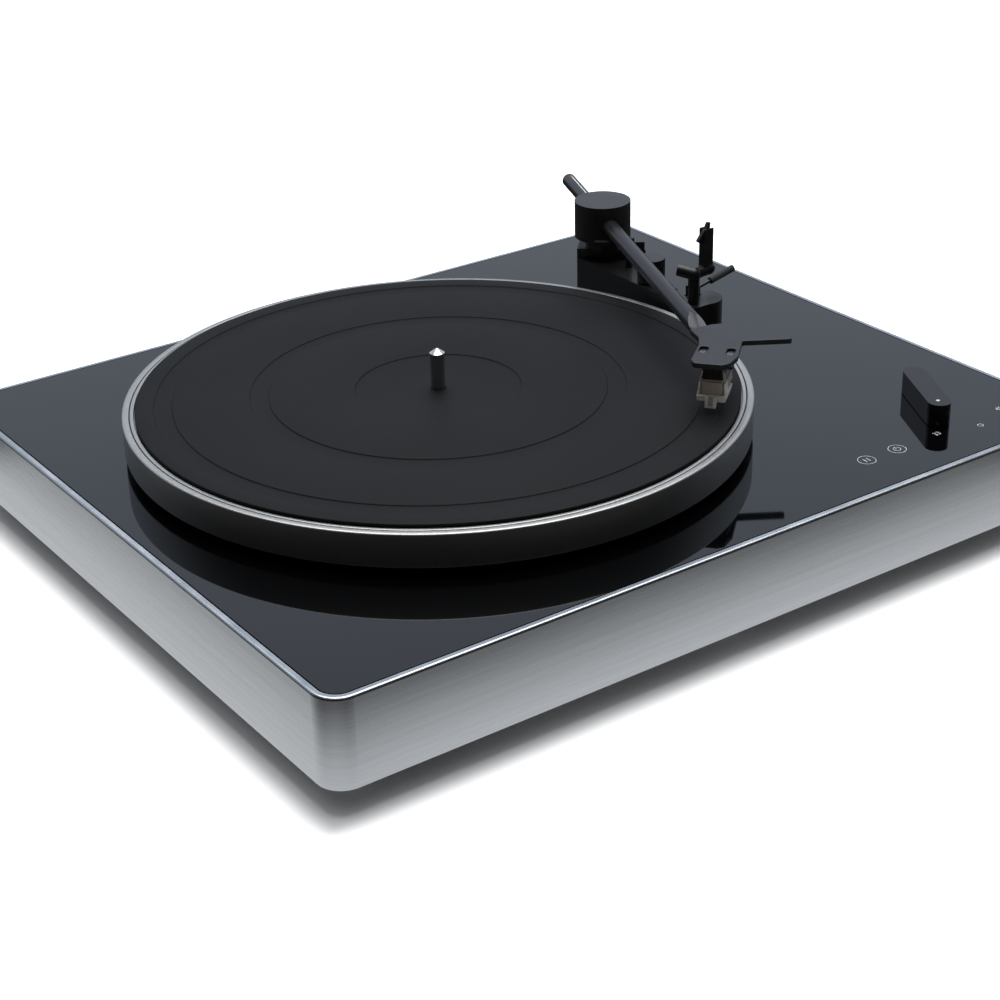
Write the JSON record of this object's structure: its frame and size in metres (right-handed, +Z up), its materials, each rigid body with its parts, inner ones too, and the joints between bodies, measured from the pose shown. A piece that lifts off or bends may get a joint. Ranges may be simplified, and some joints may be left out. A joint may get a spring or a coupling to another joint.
{
  "type": "belt-drive record turntable",
  "caption": "Flat record turntable: slim brushed metal plinth with a black glass top, heavy belt-driven platter with a rubber mat, and a straight tonearm with a cartridge.",
  "frame": {"origin": "on the floor plane under the middle of the plinth", "axes": "+X to the object's right, +Y to its rear, +Z up; the speed knob is at the front right"},
  "size_m": [0.428, 0.362, 0.1169],
  "materials": {
    "brushed_aluminium": "fine vertical brushing, clear anodised",
    "black_glass": "polished glass, black behind",
    "fibreboard": "raw fibreboard",
    "cover_metal": "satin black paint",
    "brass": "turned",
    "screw_steel": "zinc plated",
    "polished_steel": "polished",
    "bearing_metal": "turned",
    "bronze": "sintered bronze, satin",
    "white_plastic": "moulded",
    "black_rubber": "matt",
    "mat_rubber": "fine matt grain",
    "circuit_board": "solder mask",
    "black_plastic": "satin moulded",
    "lead_sleeve": "thin sleeving",
    "platter_metal": "bead-blasted and anodised",
    "arm_base_paint": "satin black powder coat",
    "arm_metal": "satin black anodised",
    "cartridge_plastic": "moulded, warm grey",
    "stylus_plastic": "moulded, off-white",
    "gloss_black": "piano gloss"
  },
  "bodies": {
    "plinth": {"frame_band": "brushed_aluminium", "top_glass": "black_glass", "core_board": "fibreboard", "bottom_cover": "cover_metal", "cover_posts": "brass", "cover_screws": "screw_steel", "foot_cups": "black_plastic", "foot_pads": "black_rubber", "foot_screws": "screw_steel", "bearing_housing": "bearing_metal", "bearing_bush": "bronze", "thrust_plate": "white_plastic", "thrust_ball": "polished_steel", "bearing_screws": "screw_steel", "motor_can": "cover_metal", "motor_plate": "cover_metal", "motor_grommets": "black_rubber", "motor_screws": "screw_steel", "drive_belt": "black_rubber", "main_board": "circuit_board", "board_parts": "black_plastic", "board_spacers": "white_plastic", "motor_leads": "lead_sleeve", "signal_leads": "lead_sleeve", "touch_board": "circuit_board", "speed_switch": "black_plastic", "jack_panel": "black_plastic", "phono_jacks": "brass", "power_inlet": "black_plastic", "ground_post": "brass", "arm_base": "arm_base_paint", "arm_base_screws": "screw_steel", "arm_sleeve": "brass", "arm_rest": "black_plastic"},
    "platter": {"platter_rim": "platter_metal", "platter_plate": "platter_metal", "platter_mat": "mat_rubber", "inner_platter": "white_plastic", "spindle": "polished_steel"},
    "pulley": {"motor_pulley": "brass", "motor_shaft": "polished_steel"},
    "arm_swing": {"arm_shaft": "polished_steel", "arm_yoke": "arm_base_paint"},
    "arm_tilt": {"pivot_housing": "arm_base_paint", "tilt_pins": "polished_steel", "arm_tube": "arm_metal", "headshell": "arm_metal", "cartridge_screws": "polished_steel", "cartridge_body": "cartridge_plastic", "stylus_holder": "stylus_plastic", "stylus": "polished_steel", "cartridge_leads": "lead_sleeve"},
    "balance_rod": {"balance_rod": "arm_metal"},
    "rest_latch": {"rest_latch": "black_plastic"},
    "cue_lever": {"cue_lever": "black_plastic", "cue_grip": "black_rubber"},
    "lifter": {"lifter": "black_plastic"},
    "antiskate_dial": {"antiskate_dial": "black_plastic"},
    "speed_knob": {"speed_knob": "gloss_black"},
    "output_switch": {"output_switch": "black_plastic"}
  },
  "joints": [
    {"name": "platter_spin", "type": "hinge", "parent": "plinth", "child": "platter", "pos_m": [-0.0408, 0, 0.0761], "axis": [0, 0, 1], "continuous": true},
    {"name": "pulley_spin", "type": "hinge", "parent": "plinth", "child": "pulley", "pos_m": [-0.11151, 0.07071, 0.062], "axis": [0, 0, 1], "continuous": true},
    {"name": "arm_swing_turn", "type": "hinge", "parent": "plinth", "child": "arm_swing", "pos_m": [0.1259, 0.0865, 0.1005], "axis": [0, 0, 1], "range_deg": [-25, 22.2]},
    {"name": "arm_tilt_turn", "type": "hinge", "parent": "arm_swing", "child": "arm_tilt", "pos_m": [0.1259, 0.0865, 0.1005], "axis": [-0.9272, 0.3746, 0], "range_deg": [-0.5, 10]},
    {"name": "balance_slide", "type": "slide", "parent": "arm_tilt", "child": "balance_rod", "axis": [0.3746, 0.9272, 0], "range_m": [-0.004, 0.008]},
    {"name": "latch_turn", "type": "hinge", "parent": "plinth", "child": "rest_latch", "pos_m": [0.1336, 0.01, 0.1115], "axis": [0, 1, 0], "range_deg": [0, 110]},
    {"name": "cue_turn", "type": "hinge", "parent": "plinth", "child": "cue_lever", "pos_m": [0.1335, 0.019, 0.0772], "axis": [0, 1, 0], "range_deg": [0, 18]},
    {"name": "lifter_slide", "type": "slide", "parent": "plinth", "child": "lifter", "axis": [0, 0, 1], "range_m": [-0.00121, 0]},
    {"name": "antiskate_turn", "type": "hinge", "parent": "plinth", "child": "antiskate_dial", "pos_m": [0.1206, 0.038, 0.084], "axis": [0, 0, 1], "range_deg": [0, 150]},
    {"name": "speed_turn", "type": "hinge", "parent": "plinth", "child": "speed_knob", "pos_m": [0.1628, -0.1168, 0.054], "axis": [0, 0, 1], "range_deg": [0, 62]},
    {"name": "output_slide", "type": "slide", "parent": "plinth", "child": "output_switch", "axis": [1, 0, 0], "range_m": [-0.0024, 0.0024]}
  ],
  "couplings": [
    {"joint": "pulley_spin", "follows": "platter_spin", "ratio": 10},
    {"joint": "lifter_slide", "follows": "cue_turn", "m_per_rad": -0.00382}
  ]
}
